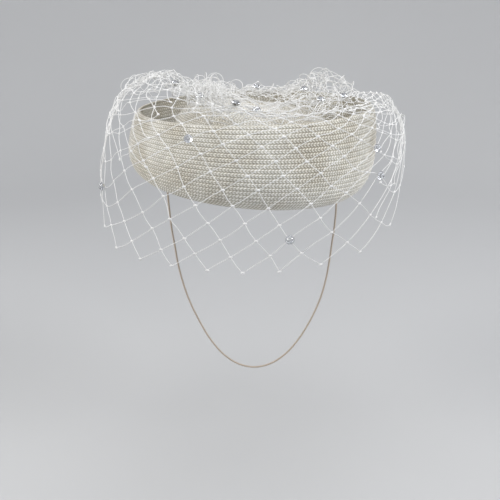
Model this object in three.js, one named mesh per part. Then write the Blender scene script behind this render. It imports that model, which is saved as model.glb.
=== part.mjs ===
import * as THREE from "three";

// A straw hat with a turned-up brim, a cage veil of diamond net, bunched net on the crown,
// clear stones and a chin elastic. Millimetres. The face side is -Y, +Z is up, and the origin
// is the middle of the head opening. Azimuth 0 is the front, and it grows towards +X.

// Straw
const STRAW_THICKNESS = 2;
const HEAD_HALF_WIDTH = 78;
const HEAD_HALF_DEPTH = 92;
const CROWN_HEIGHT = 77;
const BRIM_HALF_WIDTH = 118;
const BRIM_HALF_DEPTH = 125;
const BRIM_HEIGHT = 77;
const BRIM_RISE = 0.15;
const HAT_TILT = THREE.MathUtils.degToRad(4.8);

// Net
const NET_THICKNESS = 1.2;
const STRAND_HALF_WIDTH = 1;
const VEIL_LEFT = 140;
const VEIL_RIGHT = 144;
const VEIL_FRONT = 156;
const VEIL_BACK = 135;
const VEIL_SQUARENESS = 2.75;
const VEIL_DROP = 43;
const VEIL_START = THREE.MathUtils.degToRad(-113.3);
const VEIL_END = THREE.MathUtils.degToRad(90.6);
const MESH_COLUMNS = 9;
const MESH_HALF_ROWS = 8;
const GATHER_EYE = 14;
const GATHER_HUMP = 5;
const PLEAT_COUNT = 16;
const PLEAT_DEPTH = 4;

// Stones
const STONE_RADIUS = 4;
const STONE_HEIGHT = 4.4;
const STONE_FACETS = 8;

// Elastic
const ELASTIC_DIAMETER = 1.8;
const ELASTIC_LEFT = 80.5;
const ELASTIC_RIGHT = 86;
const ELASTIC_SIDES = 8;
const ELASTIC_STEPS = 64;

// Clearances between pieces that touch on the real hat
const SEAM_GAP = 0.3;
const VEIL_SEAM_GAP = 0.9;

// Facets round the hat and up its walls
const CROWN_FACETS = { round: 48, up: 9 };
const BRIM_FACETS = { round: 64, up: 11 };
const GATHER_FACETS = { round: 4 * PLEAT_COUNT, up: 6 };

// The crown's profile from its foot to its top, as shares of the head size and the crown's height
const CROWN_PROFILE = [
  { along: 0, out: 1, up: 0 },
  { along: 0.165, out: 1, up: 0.3 },
  { along: 0.302, out: 0.99, up: 0.55 },
  { along: 0.413, out: 0.96, up: 0.75 },
  { along: 0.509, out: 0.87, up: 0.9 },
  { along: 0.61, out: 0.7, up: 0.965 },
  { along: 0.778, out: 0.4, up: 0.995 },
  { along: 1, out: 0, up: 1 },
];

// The brim's profile from the crown to its rim, as shares of the brim's width and height
const BRIM_PROFILE = [
  { along: 0, out: 0, up: 0 },
  { along: 0.115, out: 0.3, up: 0.008 },
  { along: 0.229, out: 0.58, up: 0.055 },
  { along: 0.34, out: 0.8, up: 0.15 },
  { along: 0.453, out: 0.94, up: 0.285 },
  { along: 0.578, out: 1, up: 0.45 },
  { along: 0.726, out: 0.985, up: 0.65 },
  { along: 0.876, out: 0.93, up: 0.85 },
  { along: 0.968, out: 0.86, up: 0.97 },
  { along: 1, out: 0.8, up: 1 },
];

// Where the bunched net ends and the veil hangs from it, as shares of the head's half width
// and of the crown's height
const GATHER_EDGE = [
  { azimuth: -180, reach: 0.92, height: 1.04 },
  { azimuth: -135, reach: 0.85, height: 1.06 },
  { azimuth: -90, reach: 0.82, height: 1.12 },
  { azimuth: -45, reach: 1.0, height: 1.1 },
  { azimuth: 0, reach: 1.26, height: 1.075 },
  { azimuth: 45, reach: 1.33, height: 1.165 },
  { azimuth: 90, reach: 1.2, height: 1.27 },
  { azimuth: 112, reach: 1.0, height: 1.36 },
  { azimuth: 140, reach: 0.95, height: 1.12 },
  { azimuth: 180, reach: 0.92, height: 1.04 },
];

// The veil from its upper edge to its lowest hem: reach is the share of the way out to the
// widest ring, and fall is the share of the way down, at the left and at the right
const VEIL_PROFILE = [
  { along: 0, reach: 0, fallLeft: 0, fallRight: 0 },
  { along: 0.1, reach: 0.22, fallLeft: -0.1, fallRight: -0.01 },
  { along: 0.22, reach: 0.46, fallLeft: -0.09, fallRight: 0 },
  { along: 0.34, reach: 0.68, fallLeft: -0.03, fallRight: 0.04 },
  { along: 0.46, reach: 0.85, fallLeft: 0.08, fallRight: 0.12 },
  { along: 0.58, reach: 0.945, fallLeft: 0.25, fallRight: 0.27 },
  { along: 0.72, reach: 0.99, fallLeft: 0.5, fallRight: 0.48 },
  { along: 0.86, reach: 1, fallLeft: 0.75, fallRight: 0.74 },
  { along: 1, reach: 0.985, fallLeft: 1, fallRight: 1 },
];

// How much of the veil's full length is left at each side, where its ends are drawn up
const VEIL_HEM = [
  { azimuth: -116, length: 0.38 },
  { azimuth: -90, length: 0.55 },
  { azimuth: -75, length: 0.72 },
  { azimuth: -62, length: 0.87 },
  { azimuth: -50, length: 0.97 },
  { azimuth: -25, length: 1 },
  { azimuth: 8, length: 0.985 },
  { azimuth: 30, length: 0.93 },
  { azimuth: 46, length: 0.87 },
  { azimuth: 57, length: 0.75 },
  { azimuth: 66, length: 0.62 },
  { azimuth: 85, length: 0.5 },
  { azimuth: 108, length: 0.4 },
];

// The elastic's route under the chin, from left to right, x and z
const ELASTIC_ROUTE = [
  [-79.9, -1], [-79.2, -12], [-77.9, -28], [-76.2, -45], [-73.7, -61], [-70.9, -80], [-66.8, -98],
  [-60.6, -118], [-50.5, -141], [-39.5, -161], [-25.8, -178], [-10.5, -188.5], [5.5, -192],
  [21.5, -188.5], [37, -178], [51, -161], [62.4, -141], [72, -118], [77.2, -98], [80.2, -80],
  [82.4, -61], [84.4, -45], [85.7, -28], [86, -15],
];

// Stones on the crests of the bunched net's pleats, by the pleat's number from the front and by
// the share of the way out
const GATHER_STONES = [
  { pleat: -2, share: 0.93 },
  { pleat: 8, share: 0.45 },
  { pleat: 0, share: 0.93 },
  { pleat: 4, share: 0.4 },
  { pleat: 2, share: 0.75 },
  { pleat: 3, share: 0.85 },
];

// Stones on the veil's strands, by column and half row of its mesh: the two add up to an even
// number, or differ by one
const VEIL_STONES = [
  { column: 5.1, halfRow: 0.9 },
  { column: 9, halfRow: 1 },
  { column: 4.75, halfRow: 6.75 },
  { column: 8, halfRow: 4 },
  { column: 11, halfRow: 7 },
  { column: 13.5, halfRow: 4.5 },
  { column: 13.6, halfRow: 5.6 },
];

const degrees = THREE.MathUtils.radToDeg;

// A smooth curve through the rows of a table
function lookUp(rows, key, column, at) {
  let k = 0;
  while (k < rows.length - 2 && at > rows[k + 1][key]) k += 1;
  const slopeAt = (index) => {
    const before = rows[Math.max(index - 1, 0)];
    const after = rows[Math.min(index + 1, rows.length - 1)];
    return (after[column] - before[column]) / (after[key] - before[key]);
  };
  const from = rows[k];
  const to = rows[k + 1];
  const span = to[key] - from[key];
  const s = THREE.MathUtils.clamp((at - from[key]) / span, 0, 1);
  const rise = s * s * (3 - 2 * s);
  const leave = s * (1 - s) * (1 - s) * span * slopeAt(k);
  const arrive = -s * s * (1 - s) * span * slopeAt(k + 1);
  return from[column] + (to[column] - from[column]) * rise + leave + arrive;
}

function atAzimuth(azimuth, reach, height) {
  return new THREE.Vector3(reach * Math.sin(azimuth), -reach * Math.cos(azimuth), height);
}

function normalAt(point, u, v) {
  const step = 1e-3;
  const across = point(u + step, v).sub(point(u - step, v));
  const up = point(u, Math.min(v + step, 1)).sub(point(u, Math.max(v - step, 0)));
  return across.cross(up).normalize();
}

function meshFrom(name, positions, triangles, material) {
  const geometry = new THREE.BufferGeometry();
  geometry.setAttribute("position", new THREE.Float32BufferAttribute(positions, 3));
  geometry.setIndex(triangles);
  geometry.computeVertexNormals();
  const mesh = new THREE.Mesh(geometry, material);
  mesh.name = name;
  return mesh;
}

// A wall round the hat: u is the azimuth and v runs from its first edge to its last one, or to a
// closed top. The wall lies on the side away from the face that the point function gives.
function ringShell(name, point, facets, thickness, closedTop, material) {
  const positions = [];
  const triangles = [];
  const columns = facets.round;
  const rows = facets.up;
  const rings = closedTop ? rows : rows + 1;
  for (const depth of [0, thickness]) {
    for (let row = 0; row < rings; row += 1) {
      for (let column = 0; column < columns; column += 1) {
        const u = (2 * Math.PI * column) / columns - Math.PI;
        const place = point(u, row / rows).addScaledVector(normalAt(point, u, row / rows), -depth);
        positions.push(place.x, place.y, place.z);
      }
    }
  }
  const layer = rings * columns;
  const vertex = (side, row, column) => side * layer + row * columns + (column % columns);
  const quad = (a, b, c, d) => triangles.push(a, b, c, a, c, d);
  for (let column = 0; column < columns; column += 1) {
    const next = column + 1;
    for (let row = 0; row < rings - 1; row += 1) {
      quad(vertex(0, row, column), vertex(0, row, next), vertex(0, row + 1, next), vertex(0, row + 1, column));
      quad(vertex(1, row, next), vertex(1, row, column), vertex(1, row + 1, column), vertex(1, row + 1, next));
    }
    quad(vertex(1, 0, column), vertex(1, 0, next), vertex(0, 0, next), vertex(0, 0, column));
    if (!closedTop) {
      const last = rings - 1;
      quad(vertex(0, last, column), vertex(0, last, next), vertex(1, last, next), vertex(1, last, column));
    }
  }
  if (closedTop) {
    const top = point(0, 1);
    const outerTop = positions.length / 3;
    positions.push(top.x, top.y, top.z, top.x, top.y, top.z - thickness);
    for (let column = 0; column < columns; column += 1) {
      const last = rings - 1;
      triangles.push(vertex(0, last, column), vertex(0, last, column + 1), outerTop);
      triangles.push(vertex(1, last, column + 1), vertex(1, last, column), outerTop + 1);
    }
  }
  return meshFrom(name, positions, triangles, material);
}

function crownPoint(azimuth, along) {
  const out = Math.max(lookUp(CROWN_PROFILE, "along", "out", along), 0);
  const up = lookUp(CROWN_PROFILE, "along", "up", along);
  const x = HEAD_HALF_WIDTH * out * Math.sin(azimuth);
  const y = -HEAD_HALF_DEPTH * out * Math.cos(azimuth);
  return new THREE.Vector3(x, y, CROWN_HEIGHT * up);
}

function brimPoint(azimuth, along) {
  const out = lookUp(BRIM_PROFILE, "along", "out", along);
  const up = lookUp(BRIM_PROFILE, "along", "up", along);
  const footWidth = HEAD_HALF_WIDTH + SEAM_GAP;
  const footDepth = HEAD_HALF_DEPTH + SEAM_GAP;
  const x = (footWidth + (BRIM_HALF_WIDTH - footWidth) * out) * Math.sin(azimuth);
  const y = -(footDepth + (BRIM_HALF_DEPTH - footDepth) * out) * Math.cos(azimuth);
  return new THREE.Vector3(x, y, BRIM_HEIGHT * up * (1 + BRIM_RISE * Math.sin(azimuth)));
}

function wrapDegrees(azimuth) {
  return THREE.MathUtils.euclideanModulo(degrees(azimuth) + 180, 360) - 180;
}

function gatherReach(azimuth) {
  return HEAD_HALF_WIDTH * lookUp(GATHER_EDGE, "azimuth", "reach", wrapDegrees(azimuth));
}

function gatherHeight(azimuth) {
  return CROWN_HEIGHT * lookUp(GATHER_EDGE, "azimuth", "height", wrapDegrees(azimuth));
}

// The bunched net ends inside the straight sides of the veil's upper edge
function gatherPoint(azimuth, share) {
  const halfSide = (VEIL_END - VEIL_START) / (4 * MESH_COLUMNS);
  const edge = gatherReach(azimuth) * Math.cos(halfSide) - VEIL_SEAM_GAP;
  const reach = GATHER_EYE + (edge - GATHER_EYE) * share;
  const foot = CROWN_HEIGHT + SEAM_GAP + NET_THICKNESS;
  const swell = Math.sin(Math.PI * share);
  const pleat = PLEAT_DEPTH * Math.cos(PLEAT_COUNT * azimuth);
  const height = foot + (gatherHeight(azimuth) - foot) * share + (GATHER_HUMP + pleat) * swell;
  return atAzimuth(azimuth, reach, height);
}

function gatherFromEdge(azimuth, share) {
  return gatherPoint(azimuth, 1 - share);
}

// The veil's widest ring, a rounded square in plan
function veilRing(azimuth) {
  const side = Math.sin(azimuth) < 0 ? VEIL_LEFT : VEIL_RIGHT;
  const front = Math.cos(azimuth) > 0 ? VEIL_FRONT : VEIL_BACK;
  const sum =
    Math.abs(Math.sin(azimuth) / side) ** VEIL_SQUARENESS +
    Math.abs(Math.cos(azimuth) / front) ** VEIL_SQUARENESS;
  return sum ** (-1 / VEIL_SQUARENESS);
}

// Azimuths at equal steps of length along the widest ring
function equalSteps() {
  const samples = 720;
  const rows = [{ length: 0, azimuth: VEIL_START }];
  let last = atAzimuth(VEIL_START, veilRing(VEIL_START), 0);
  for (let k = 1; k <= samples; k += 1) {
    const azimuth = VEIL_START + ((VEIL_END - VEIL_START) * k) / samples;
    const place = atAzimuth(azimuth, veilRing(azimuth), 0);
    rows.push({ length: rows[k - 1].length + place.distanceTo(last), azimuth });
    last = place;
  }
  return rows;
}

const VEIL_STEPS = equalSteps();

function veilAzimuth(across) {
  const whole = VEIL_STEPS[VEIL_STEPS.length - 1].length;
  return lookUp(VEIL_STEPS, "length", "azimuth", across * whole);
}

function veilPoint(across, down) {
  const azimuth = veilAzimuth(across);
  const along = down * lookUp(VEIL_HEM, "azimuth", "length", degrees(azimuth));
  const edge = gatherReach(azimuth);
  const reach = edge + (veilRing(azimuth) - edge) * lookUp(VEIL_PROFILE, "along", "reach", along);
  const right = (1 + Math.sin(azimuth)) / 2;
  const fallLeft = lookUp(VEIL_PROFILE, "along", "fallLeft", along);
  const fallRight = lookUp(VEIL_PROFILE, "along", "fallRight", along);
  const fall = fallLeft + (fallRight - fallLeft) * right;
  const top = gatherHeight(azimuth);
  return atAzimuth(azimuth, reach, top - (top + VEIL_DROP) * fall);
}

function veilNode(column, halfRow) {
  const across = column / (2 * MESH_COLUMNS);
  const down = halfRow / MESH_HALF_ROWS;
  const place = veilPoint(across, down);
  const normal = normalAt(veilPoint, THREE.MathUtils.clamp(across, 0.002, 0.998), down).negate();
  return { place, normal };
}

// The outline of one gap of the mesh, with a point at the middle of each side so that it follows
// the veil's curve. Corners that would fall outside the net are left out.
function gapOutline(column, halfRow) {
  const corners = [
    [column - 1, halfRow],
    [column, halfRow + 1],
    [column + 1, halfRow],
    [column, halfRow - 1],
  ].filter(([c, r]) => c >= 0 && c <= 2 * MESH_COLUMNS && r >= 0);
  return corners.flatMap((corner, k) => {
    const next = corners[(k + 1) % corners.length];
    const middle = [(corner[0] + next[0]) / 2, (corner[1] + next[1]) / 2];
    return [corner.join(), middle.join()];
  });
}

function buildVeil(material) {
  const positions = [];
  const triangles = [];
  const nodes = new Map();
  const borders = new Map();
  const addPoint = (place) => positions.push(place.x, place.y, place.z) / 3 - 1;
  const quad = (a, b, c, d) => triangles.push(a, b, c, a, c, d);
  const nodeAt = (key) => {
    if (!nodes.has(key)) {
      const node = veilNode(...key.split(",").map(Number));
      node.outer = addPoint(node.place);
      node.inner = addPoint(node.place.clone().addScaledVector(node.normal, -NET_THICKNESS));
      nodes.set(key, node);
    }
    return nodes.get(key);
  };
  const addGap = (outline) => {
    const ring = outline.map(nodeAt);
    const rim = ring.map((node, k) => {
      const before = ring[(k + ring.length - 1) % ring.length];
      const after = ring[(k + 1) % ring.length];
      const arrive = node.place.clone().sub(before.place);
      const leave = after.place.clone().sub(node.place);
      const first = node.normal.clone().cross(arrive).normalize();
      const second = node.normal.clone().cross(leave).normalize();
      const inset = first.clone().add(second).multiplyScalar(STRAND_HALF_WIDTH / (1 + first.dot(second)));
      const outer = node.place.clone().add(inset);
      const inner = outer.clone().addScaledVector(node.normal, -NET_THICKNESS);
      return { outer: addPoint(outer), inner: addPoint(inner) };
    });
    ring.forEach((node, k) => {
      const next = (k + 1) % ring.length;
      quad(node.outer, ring[next].outer, rim[next].outer, rim[k].outer);
      quad(ring[next].inner, node.inner, rim[k].inner, rim[next].inner);
      quad(rim[k].outer, rim[next].outer, rim[next].inner, rim[k].inner);
      const back = outline[next] + ">" + outline[k];
      if (borders.has(back)) borders.delete(back);
      else borders.set(outline[k] + ">" + outline[next], [node, ring[next]]);
    });
  };
  for (let halfRow = 0; halfRow < MESH_HALF_ROWS; halfRow += 1) {
    const firstColumn = (halfRow + 1) % 2;
    for (let column = firstColumn; column <= 2 * MESH_COLUMNS; column += 2) {
      addGap(gapOutline(column, halfRow));
    }
  }
  for (const [from, to] of borders.values()) quad(to.outer, from.outer, from.inner, to.inner);
  return meshFrom("veil", positions, triangles, material);
}

function stoneGeometry() {
  const half = STONE_HEIGHT / 2;
  const profile = [
    new THREE.Vector2(0, -half),
    new THREE.Vector2(STONE_RADIUS * 0.4, -half),
    new THREE.Vector2(STONE_RADIUS, half * 0.1),
    new THREE.Vector2(STONE_RADIUS * 0.6, half),
    new THREE.Vector2(0, half),
  ];
  return new THREE.LatheGeometry(profile, STONE_FACETS);
}

// A stone's flat back rests on the net, and its table faces out
function placeStone(index, place, normal, material) {
  const stone = new THREE.Mesh(stoneGeometry(), material);
  stone.name = "crystal_" + String(index).padStart(2, "0");
  stone.position.copy(place).addScaledVector(normal, STONE_HEIGHT / 2 + SEAM_GAP);
  stone.quaternion.setFromUnitVectors(new THREE.Vector3(0, 1, 0), normal);
  return stone;
}

function buildStones(material) {
  const stones = [];
  for (const { pleat, share } of GATHER_STONES) {
    const azimuth = (2 * Math.PI * pleat) / PLEAT_COUNT;
    const normal = normalAt(gatherPoint, azimuth, share).negate();
    stones.push(placeStone(stones.length + 1, gatherPoint(azimuth, share), normal, material));
  }
  for (const { column, halfRow } of VEIL_STONES) {
    const { place, normal } = veilNode(column, halfRow);
    stones.push(placeStone(stones.length + 1, place, normal, material));
  }
  return stones;
}

// The elastic leaves the underside of the brim beside the crown and hangs straight down,
// whatever the tilt of the hat
function buildElastic(material) {
  const tilt = new THREE.Euler(0, HAT_TILT, 0);
  const below = new THREE.Vector3(0, 0, -SEAM_GAP);
  const left = new THREE.Vector3(-ELASTIC_LEFT, 0, 0).applyEuler(tilt).add(below);
  const right = new THREE.Vector3(ELASTIC_RIGHT, 0, 0).applyEuler(tilt).add(below);
  const route = ELASTIC_ROUTE.map(([x, z]) => new THREE.Vector3(x, 0, z));
  const path = new THREE.CatmullRomCurve3([left, ...route, right], false, "centripetal");
  const section = new THREE.Shape();
  for (let side = 0; side < ELASTIC_SIDES; side += 1) {
    const turn = (2 * Math.PI * side) / ELASTIC_SIDES;
    const x = (ELASTIC_DIAMETER / 2) * Math.cos(turn);
    const y = (ELASTIC_DIAMETER / 2) * Math.sin(turn);
    if (side === 0) section.moveTo(x, y);
    else section.lineTo(x, y);
  }
  const geometry = new THREE.ExtrudeGeometry(section, {
    steps: ELASTIC_STEPS,
    extrudePath: path,
    bevelEnabled: false,
  });
  const elastic = new THREE.Mesh(geometry, material);
  elastic.name = "chin_elastic";
  return elastic;
}

const straw = new THREE.MeshStandardMaterial({ color: 0xd8d2c0, roughness: 0.75, metalness: 0 });
const net = new THREE.MeshStandardMaterial({ color: 0xf1f0ec, roughness: 0.6, metalness: 0 });
const crystal = new THREE.MeshStandardMaterial({ color: 0xe8eef8, roughness: 0.05, metalness: 0 });
const elasticCord = new THREE.MeshStandardMaterial({ color: 0x94806a, roughness: 0.8, metalness: 0 });

const hat = new THREE.Group();
hat.rotation.y = HAT_TILT;
hat.add(ringShell("crown", crownPoint, CROWN_FACETS, STRAW_THICKNESS, true, straw));
hat.add(ringShell("brim", brimPoint, BRIM_FACETS, STRAW_THICKNESS, false, straw));
hat.add(ringShell("veil_gather", gatherFromEdge, GATHER_FACETS, NET_THICKNESS, false, net));
hat.add(buildVeil(net));
for (const stone of buildStones(crystal)) hat.add(stone);

const fascinator = new THREE.Group();
fascinator.add(hat, buildElastic(elasticCord));

export default fascinator;
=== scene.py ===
import math

import bmesh
import bpy
import numpy as np
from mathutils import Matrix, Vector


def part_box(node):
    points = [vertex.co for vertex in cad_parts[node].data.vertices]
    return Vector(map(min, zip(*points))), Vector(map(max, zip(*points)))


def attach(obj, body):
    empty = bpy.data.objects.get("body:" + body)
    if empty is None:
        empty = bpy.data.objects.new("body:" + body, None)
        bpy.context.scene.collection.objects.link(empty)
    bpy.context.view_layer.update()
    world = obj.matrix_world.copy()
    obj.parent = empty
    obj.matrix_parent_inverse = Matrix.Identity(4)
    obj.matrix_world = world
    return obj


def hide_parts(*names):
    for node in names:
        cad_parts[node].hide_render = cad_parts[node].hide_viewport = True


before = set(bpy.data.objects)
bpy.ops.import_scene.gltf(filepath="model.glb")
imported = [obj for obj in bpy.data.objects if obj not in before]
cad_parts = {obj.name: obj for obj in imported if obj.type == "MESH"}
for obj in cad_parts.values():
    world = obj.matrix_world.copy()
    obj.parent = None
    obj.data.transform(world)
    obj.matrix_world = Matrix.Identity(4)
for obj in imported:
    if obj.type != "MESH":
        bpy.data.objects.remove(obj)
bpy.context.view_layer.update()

# Units and the hat's lean to one side
MM = 0.001
HAT_TILT = math.radians(4.8)

# Straw sizes
STRAW_THICKNESS = 2 * MM
HEAD_HALF_WIDTH = 78 * MM
HEAD_HALF_DEPTH = 92 * MM
CROWN_HEIGHT = 77 * MM
BRIM_HALF_WIDTH = 118 * MM
BRIM_HALF_DEPTH = 125 * MM
BRIM_HEIGHT = 77 * MM
BRIM_RISE = 0.15
SEAM_GAP = 0.3 * MM
STITCH_PITCH = 3.1 * MM
CROWN_ROWS = 32
CROWN_ROW_STEPS = 4
CROWN_COLUMNS = 192
BRIM_ROWS = 25
BRIM_ROW_STEPS = 5
BRIM_COLUMNS = 256
STITCH_SAMPLES = 181
LEAST_STITCHES = 6
CAP_STITCH = 0.03

# Ridges of the braid rows, as shares of their relief, and the rounding of the wall's two ends
ROW_RELIEF = 0.9 * MM
ROW_ROUNDNESS = 0.6
OUTER_SINK = 0.75
INNER_SINK = 0.5
INNER_RELIEF = 0.6
RIM_ROUNDING = 0.9 * MM
FOOT_ROUNDING = 0.5 * MM

# Veil sizes
VEIL_LEFT = 140 * MM
VEIL_RIGHT = 144 * MM
VEIL_FRONT = 156 * MM
VEIL_BACK = 135 * MM
VEIL_SQUARENESS = 2.75
VEIL_DROP = 43 * MM
VEIL_START = math.radians(-113.3)
VEIL_END = math.radians(90.6)
VEIL_COLUMNS = 36
VEIL_HALF_ROWS = 16
SLANT = 0.128
SLANT_EASE = 0.35
STONE_PULL = 1.5
RING_STEPS = 721

# Strands and knots; the knot's shape is in shares of its radius
STRAND_RADIUS = 0.3 * MM
STRAND_STEPS = 6
STRAND_SIDES = 5
CRUMPLED_STEPS = 11
NODE_SHIFT = 0.07
NET_NORMAL_STEP = 2e-3
KNOT_RADIUS = 1.35 * MM
KNOT_SIDES = 6
KNOT_RINGS = ((-0.75, 0.62), (0, 1), (0.75, 0.62))
KNOT_STRETCH = 1.25
KNOT_FLATNESS = 0.75
KNOT_WIDTH = 0.8
KNOT_TIP = 1.45

# Folds of the veil: share of their size, wavelength and seed of each crumpling
VEIL_FOLD = 5.5 * MM
VEIL_CRUMPLES = ((1.0, 50 * MM, 21), (0.4, 22 * MM, 22))
CRUMPLE_WAVES = 6
CRUMPLE_LENGTHS = (0.6, 1.5)
HEM_LOOSENESS = 0.2
TOP_LOOSENESS = 1.15
RIGHT_LOOSENESS = 0.75
LEFT_LOOSENESS = 0.7
EDGE_LOOSENESS = 0.2
EDGE_EASE = 0.06
FOLD_RISE = 2.5 * MM
STONE_CALM = 9 * MM

# Bunched net sizes
GATHER_EYE = 14 * MM
GATHER_HUMP = 5 * MM
NET_THICKNESS = 1.2 * MM
NET_LIFT = 1.5 * MM
LAYER_KNOT_RADIUS = 0.75 * KNOT_RADIUS
LAYER_WANDER = 0.05
RUFFLE_OVERTONE = 0.4
RUFFLE_SWAY = 3 * MM

# Sideways bend of single strands
VEIL_BOW = 0.3 * MM
FOLD_BOW = 0.8 * MM
LAYER_BOW = 1.2 * MM

# Random seeds; folds and layers count on from theirs
VEIL_SEED = 3
LOOP_SEED = 8
LAYER_NET_SEED = 11
LAYER_CRUMPLE_SEED = 31
FOLD_CRUMPLE_SEED = 51
FOLD_NET_SEED = 61

# Loops of thread
LOOP_STEPS = 18
LOOP_LEVELNESS = (1, 1, 0.35)
LOOP_CLOSURES = (0.8, 1.0)
LOOP_WIDTHS = (0.7, 1.5)
LOOP_LIFT = 0.9
LOOP_SWAY = 0.5
LARGE_LOOP_WIDTH = 1.15
LARGE_LOOP_SWAY = 0.4

# Threads from the bunched net to its stones, and the room that every stone takes
GATHER_STONE_COUNT = 6
THREADS_PER_STONE = 9
THREAD_TURN = 0.5
THREAD_REACHES = (-0.35, 0.3)
THREAD_LIMITS = (0.2, 1.04)
THREAD_SCATTER = (5 * MM, 5 * MM, 2 * MM)
THREAD_ARCH = 5 * MM
STONE_SEAT = 2.4 * MM
STONE_ROOM = (4.4 * MM, 4.4 * MM, 3.3 * MM)

# Elastic sizes
ELASTIC_DIAMETER = 1.8 * MM
ELASTIC_LEFT = 80.5 * MM
ELASTIC_RIGHT = 86 * MM
ELASTIC_SIDES = 12
ELASTIC_STEPS = 14

# Camera
CAMERA_PLACE = (0.0012, -0.956, 0.211)
CAMERA_PITCH = 0.2826
CAMERA_LENS = 72
CAMERA_SENSOR = 36

# Stage
FLOOR_HEIGHT = -0.257
COVE_RADIUS = 1.9
COVE_BEND = 0.8
COVE_HEIGHT = 1.6
COVE_STEPS = 12
STAGE_COLUMNS = 96

# Lights: name, place, aim, power in watts and colour
LIGHT_SIZE = 0.9
LIGHTS = (
    ("key", (-1.45, -0.6, 0.9), (0, 0, 0.03), 20, (1.0, 0.98, 0.945)),
    ("fill", (1.45, -0.6, 0.95), (0, 0, 0.03), 22, (0.985, 0.985, 0.99)),
    ("top", (0.1, -0.15, 1.45), (0, 0, 0.05), 3, (1.0, 0.99, 0.96)),
    ("back", (0.2, 1.2, 1.2), (0, 0, 0.05), 5, (1.0, 1.0, 1.0)),
)
WORLD_COLOR = (0.93, 0.95, 1.0, 1)
WORLD_STRENGTH = 0.64

# Pairs of colours that each material runs between
# The straw's deep colour is painted shade in the gaps between stitches and rows; its pale colour is
# the straw's own tone, lightened on the stitch crests as a painted highlight.
STRAW_PALE_AND_HIGHLIGHT = ((0.79, 0.755, 0.67, 1), (0.96, 0.95, 0.91, 1))
STRAW_GAP_SHADE = ((0.38, 0.34, 0.26, 1), (0.54, 0.51, 0.43, 1))
NET_WHITE = ((0.71, 0.71, 0.705, 1), (0.86, 0.86, 0.855, 1))
ELASTIC_TAN = ((0.23, 0.18, 0.14, 1), (0.56, 0.475, 0.39, 1))
STONE_CLEAR = ((0.96, 0.975, 1.0, 1), (1.0, 1.0, 1.0, 1))
FOIL_SILVER = ((0.62, 0.64, 0.67, 1), (0.97, 0.975, 0.99, 1))
STAGE_GREY = ((0.42, 0.425, 0.435, 1), (0.50, 0.505, 0.51, 1))

# Depth of the bump in each material
STRAW_BUMP = 0.5 * MM
NET_BUMP = 0.06 * MM
ELASTIC_BUMP = 0.25 * MM

# Stitches of the straw: how far they lean and wander, and what fibres add to their height
STITCH_LEAN = 0.75
STITCH_WANDER = 0.5
WANDER_SCALE = 60.0
PATCH_SCALE = 26.0
FIBRE_STRETCH = (2.0, 9.0, 1.0)
FIBRE_SCALE = 3.0
FIBRE_HEIGHT = 0.14

# Crown: share along its profile, out and up
CROWN_PROFILE = (
    (0, 1, 0),
    (0.165, 1, 0.3),
    (0.302, 0.99, 0.55),
    (0.413, 0.96, 0.75),
    (0.509, 0.87, 0.9),
    (0.61, 0.7, 0.965),
    (0.778, 0.4, 0.995),
    (1, 0, 1),
)

# Brim: share along its profile, out and up
BRIM_PROFILE = (
    (0, 0, 0),
    (0.115, 0.3, 0.008),
    (0.229, 0.58, 0.055),
    (0.34, 0.8, 0.15),
    (0.453, 0.94, 0.285),
    (0.578, 1, 0.45),
    (0.726, 0.985, 0.65),
    (0.876, 0.93, 0.85),
    (0.968, 0.86, 0.97),
    (1, 0.8, 1),
)

# Edge of the bunched net: azimuth, reach and height in shares of the crown's
GATHER_EDGE = (
    (-180, 0.92, 1.04),
    (-135, 0.85, 1.06),
    (-90, 0.82, 1.12),
    (-45, 1.0, 1.1),
    (0, 1.26, 1.075),
    (45, 1.33, 1.165),
    (90, 1.2, 1.27),
    (112, 1.0, 1.36),
    (140, 0.95, 1.12),
    (180, 0.92, 1.04),
)

# Veil: share along its profile, reach, fall at the left and fall at the right
VEIL_PROFILE = (
    (0, 0, 0, 0),
    (0.1, 0.22, -0.1, -0.01),
    (0.22, 0.46, -0.09, 0),
    (0.34, 0.68, -0.03, 0.04),
    (0.46, 0.85, 0.08, 0.12),
    (0.58, 0.945, 0.25, 0.27),
    (0.72, 0.99, 0.5, 0.48),
    (0.86, 1, 0.75, 0.74),
    (1, 0.985, 1, 1),
)

# Azimuth and the share of the veil's length that is left there
VEIL_HEM = (
    (-116, 0.38),
    (-90, 0.55),
    (-75, 0.72),
    (-62, 0.87),
    (-50, 0.97),
    (-25, 1),
    (8, 0.985),
    (30, 0.93),
    (46, 0.87),
    (57, 0.75),
    (66, 0.62),
    (85, 0.5),
    (108, 0.4),
)

# Columns and half rows of the net at which its stones are sewn on
VEIL_STONES = ((10.2, 1.8), (18, 2), (9.5, 13.5), (16, 8), (22, 14), (27, 9), (27.2, 11.2))

# Loops of thread: first and last azimuth, inner and outer share, count, and radii in millimetres
LOOP_FIELDS = (
    (-120, -20, 0.55, 1.05, 26, 5, 9),
    (-180, 180, 0.35, 0.95, 20, 3, 7),
    (60, 140, 0.5, 0.95, 14, 4, 8),
)

# Large loops at the left: azimuth, reach, height, radius and turn about the upright axis
LARGE_LOOPS = (
    (-92, 121, 85, 8, 20),
    (-84, 116, 89, 9, 55),
    (-78, 104, 92, 6.5, -15),
    (-70, 97, 92, 6, 40),
    (-64, 96, 93, 12, 10),
    (-52, 84, 95, 10, -30),
)

# Second folds of the veil: first and last share across, deepest share down, columns, half rows,
# and in millimetres the bulge and the size and length of the crumpling
VEIL_FOLDS = (
    (0.02, 0.38, 0.66, 10, 10, 5, 4.8, 36),
    (0.76, 1.0, 0.88, 8, 12, 2, 4.4, 34),
)

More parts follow.
